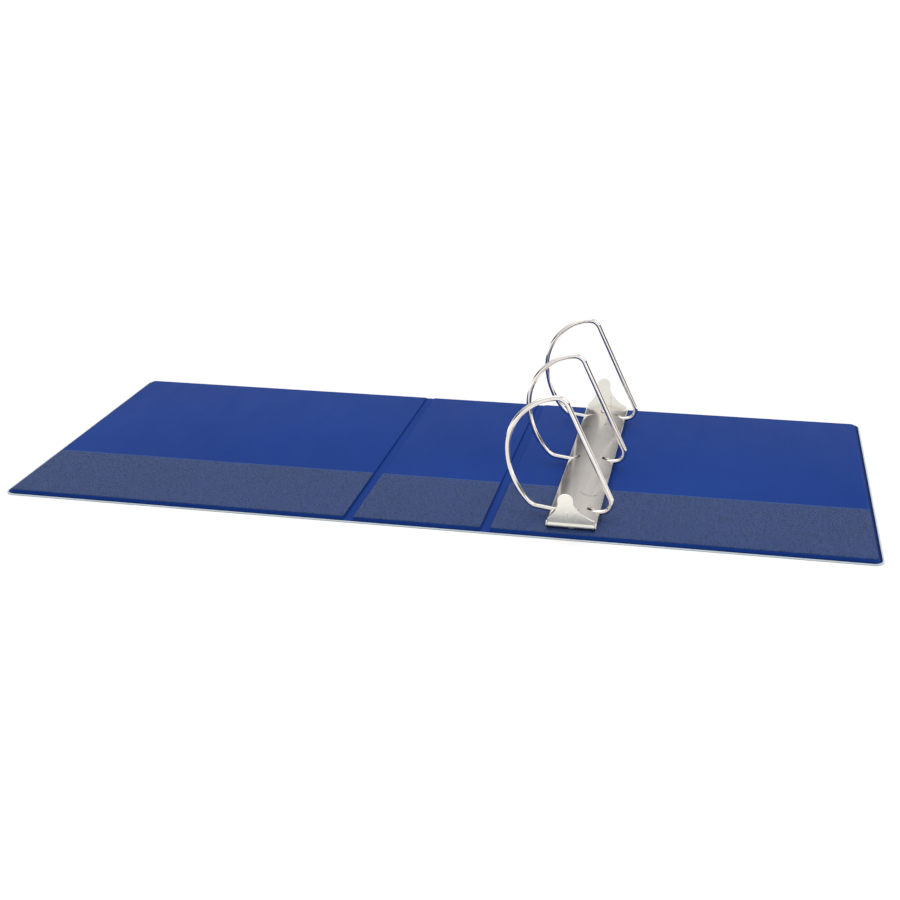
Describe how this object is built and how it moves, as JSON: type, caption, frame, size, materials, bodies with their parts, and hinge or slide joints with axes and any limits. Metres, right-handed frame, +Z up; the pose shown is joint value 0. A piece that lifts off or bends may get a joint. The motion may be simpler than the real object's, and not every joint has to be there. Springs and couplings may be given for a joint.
{
  "type": "ring binder",
  "caption": "Wide view binder lying open: vinyl covers and spine with clear overlays and inside pockets, slant-D rings on a nickel mechanism with opening levers.",
  "frame": {"origin": "centre of the underside of the open binder, on the surface it lies on", "axes": "+X from the front cover to the back cover, +Y along the spine towards its top end, +Z up"},
  "size_m": [0.7054, 0.298, 0.104],
  "materials": {
    "clear_overlay": "clear film",
    "outer_skin": "satin",
    "board": "matte",
    "liner": "satin",
    "pocket": "leather grain, satin",
    "housing": "nickel plated, bright",
    "blade": "nickel plated",
    "ring": "nickel plated, bright",
    "rivet": "nickel plated",
    "lever": "nickel plated, bright"
  },
  "bodies": {
    "back_cover": {"back_board": "board", "back_clear_overlay": "clear_overlay", "back_liner": "liner", "back_outer_skin": "outer_skin", "back_pocket": "pocket", "mechanism_housing": "housing", "mechanism_rivets": "rivet", "rivet_spacers": "rivet", "lever_pins": "rivet"},
    "spine": {"spine_board": "board", "spine_clear_overlay": "clear_overlay", "spine_liner": "liner", "spine_outer_skin": "outer_skin", "spine_pocket": "pocket"},
    "front_cover": {"front_board": "board", "front_clear_overlay": "clear_overlay", "front_liner": "liner", "front_outer_skin": "outer_skin", "front_pocket": "pocket"},
    "curved_ring_carrier": {"left_hinge_blade": "blade", "ring_curved_half_far": "ring", "ring_curved_half_middle": "ring", "ring_curved_half_near": "ring"},
    "straight_ring_carrier": {"right_hinge_blade": "blade", "ring_straight_half_far": "ring", "ring_straight_half_middle": "ring", "ring_straight_half_near": "ring"},
    "near_lever_body": {"near_lever": "lever"},
    "far_lever_body": {"far_lever": "lever"}
  },
  "joints": [
    {"name": "spine_hinge", "type": "hinge", "parent": "back_cover", "child": "spine", "pos_m": [0.05515, 0, 0.00065], "axis": [0, 1, 0], "range_deg": [0, 90]},
    {"name": "front_hinge", "type": "hinge", "parent": "spine", "child": "front_cover", "pos_m": [-0.05515, 0, 0.00065], "axis": [0, 1, 0], "range_deg": [0, 90]},
    {"name": "curved_rings_hinge", "type": "hinge", "parent": "back_cover", "child": "curved_ring_carrier", "pos_m": [0.10305, -0.005, 0.0064], "axis": [0, -1, 0], "range_deg": [0, 5.75]},
    {"name": "straight_rings_hinge", "type": "hinge", "parent": "back_cover", "child": "straight_ring_carrier", "pos_m": [0.13885, -0.005, 0.0064], "axis": [0, 1, 0], "range_deg": [0, 5.75]},
    {"name": "near_lever_pivot", "type": "hinge", "parent": "back_cover", "child": "near_lever_body", "pos_m": [0.12095, -0.136, 0.0072], "axis": [1, 0, 0], "range_deg": [0, 30]},
    {"name": "far_lever_pivot", "type": "hinge", "parent": "back_cover", "child": "far_lever_body", "pos_m": [0.12095, 0.126, 0.0072], "axis": [-1, 0, 0], "range_deg": [0, 30]}
  ],
  "couplings": [
    {"joint": "straight_rings_hinge", "follows": "curved_rings_hinge", "ratio": 1},
    {"joint": "near_lever_pivot", "follows": "curved_rings_hinge", "ratio": 5.217},
    {"joint": "far_lever_pivot", "follows": "curved_rings_hinge", "ratio": 5.217}
  ]
}
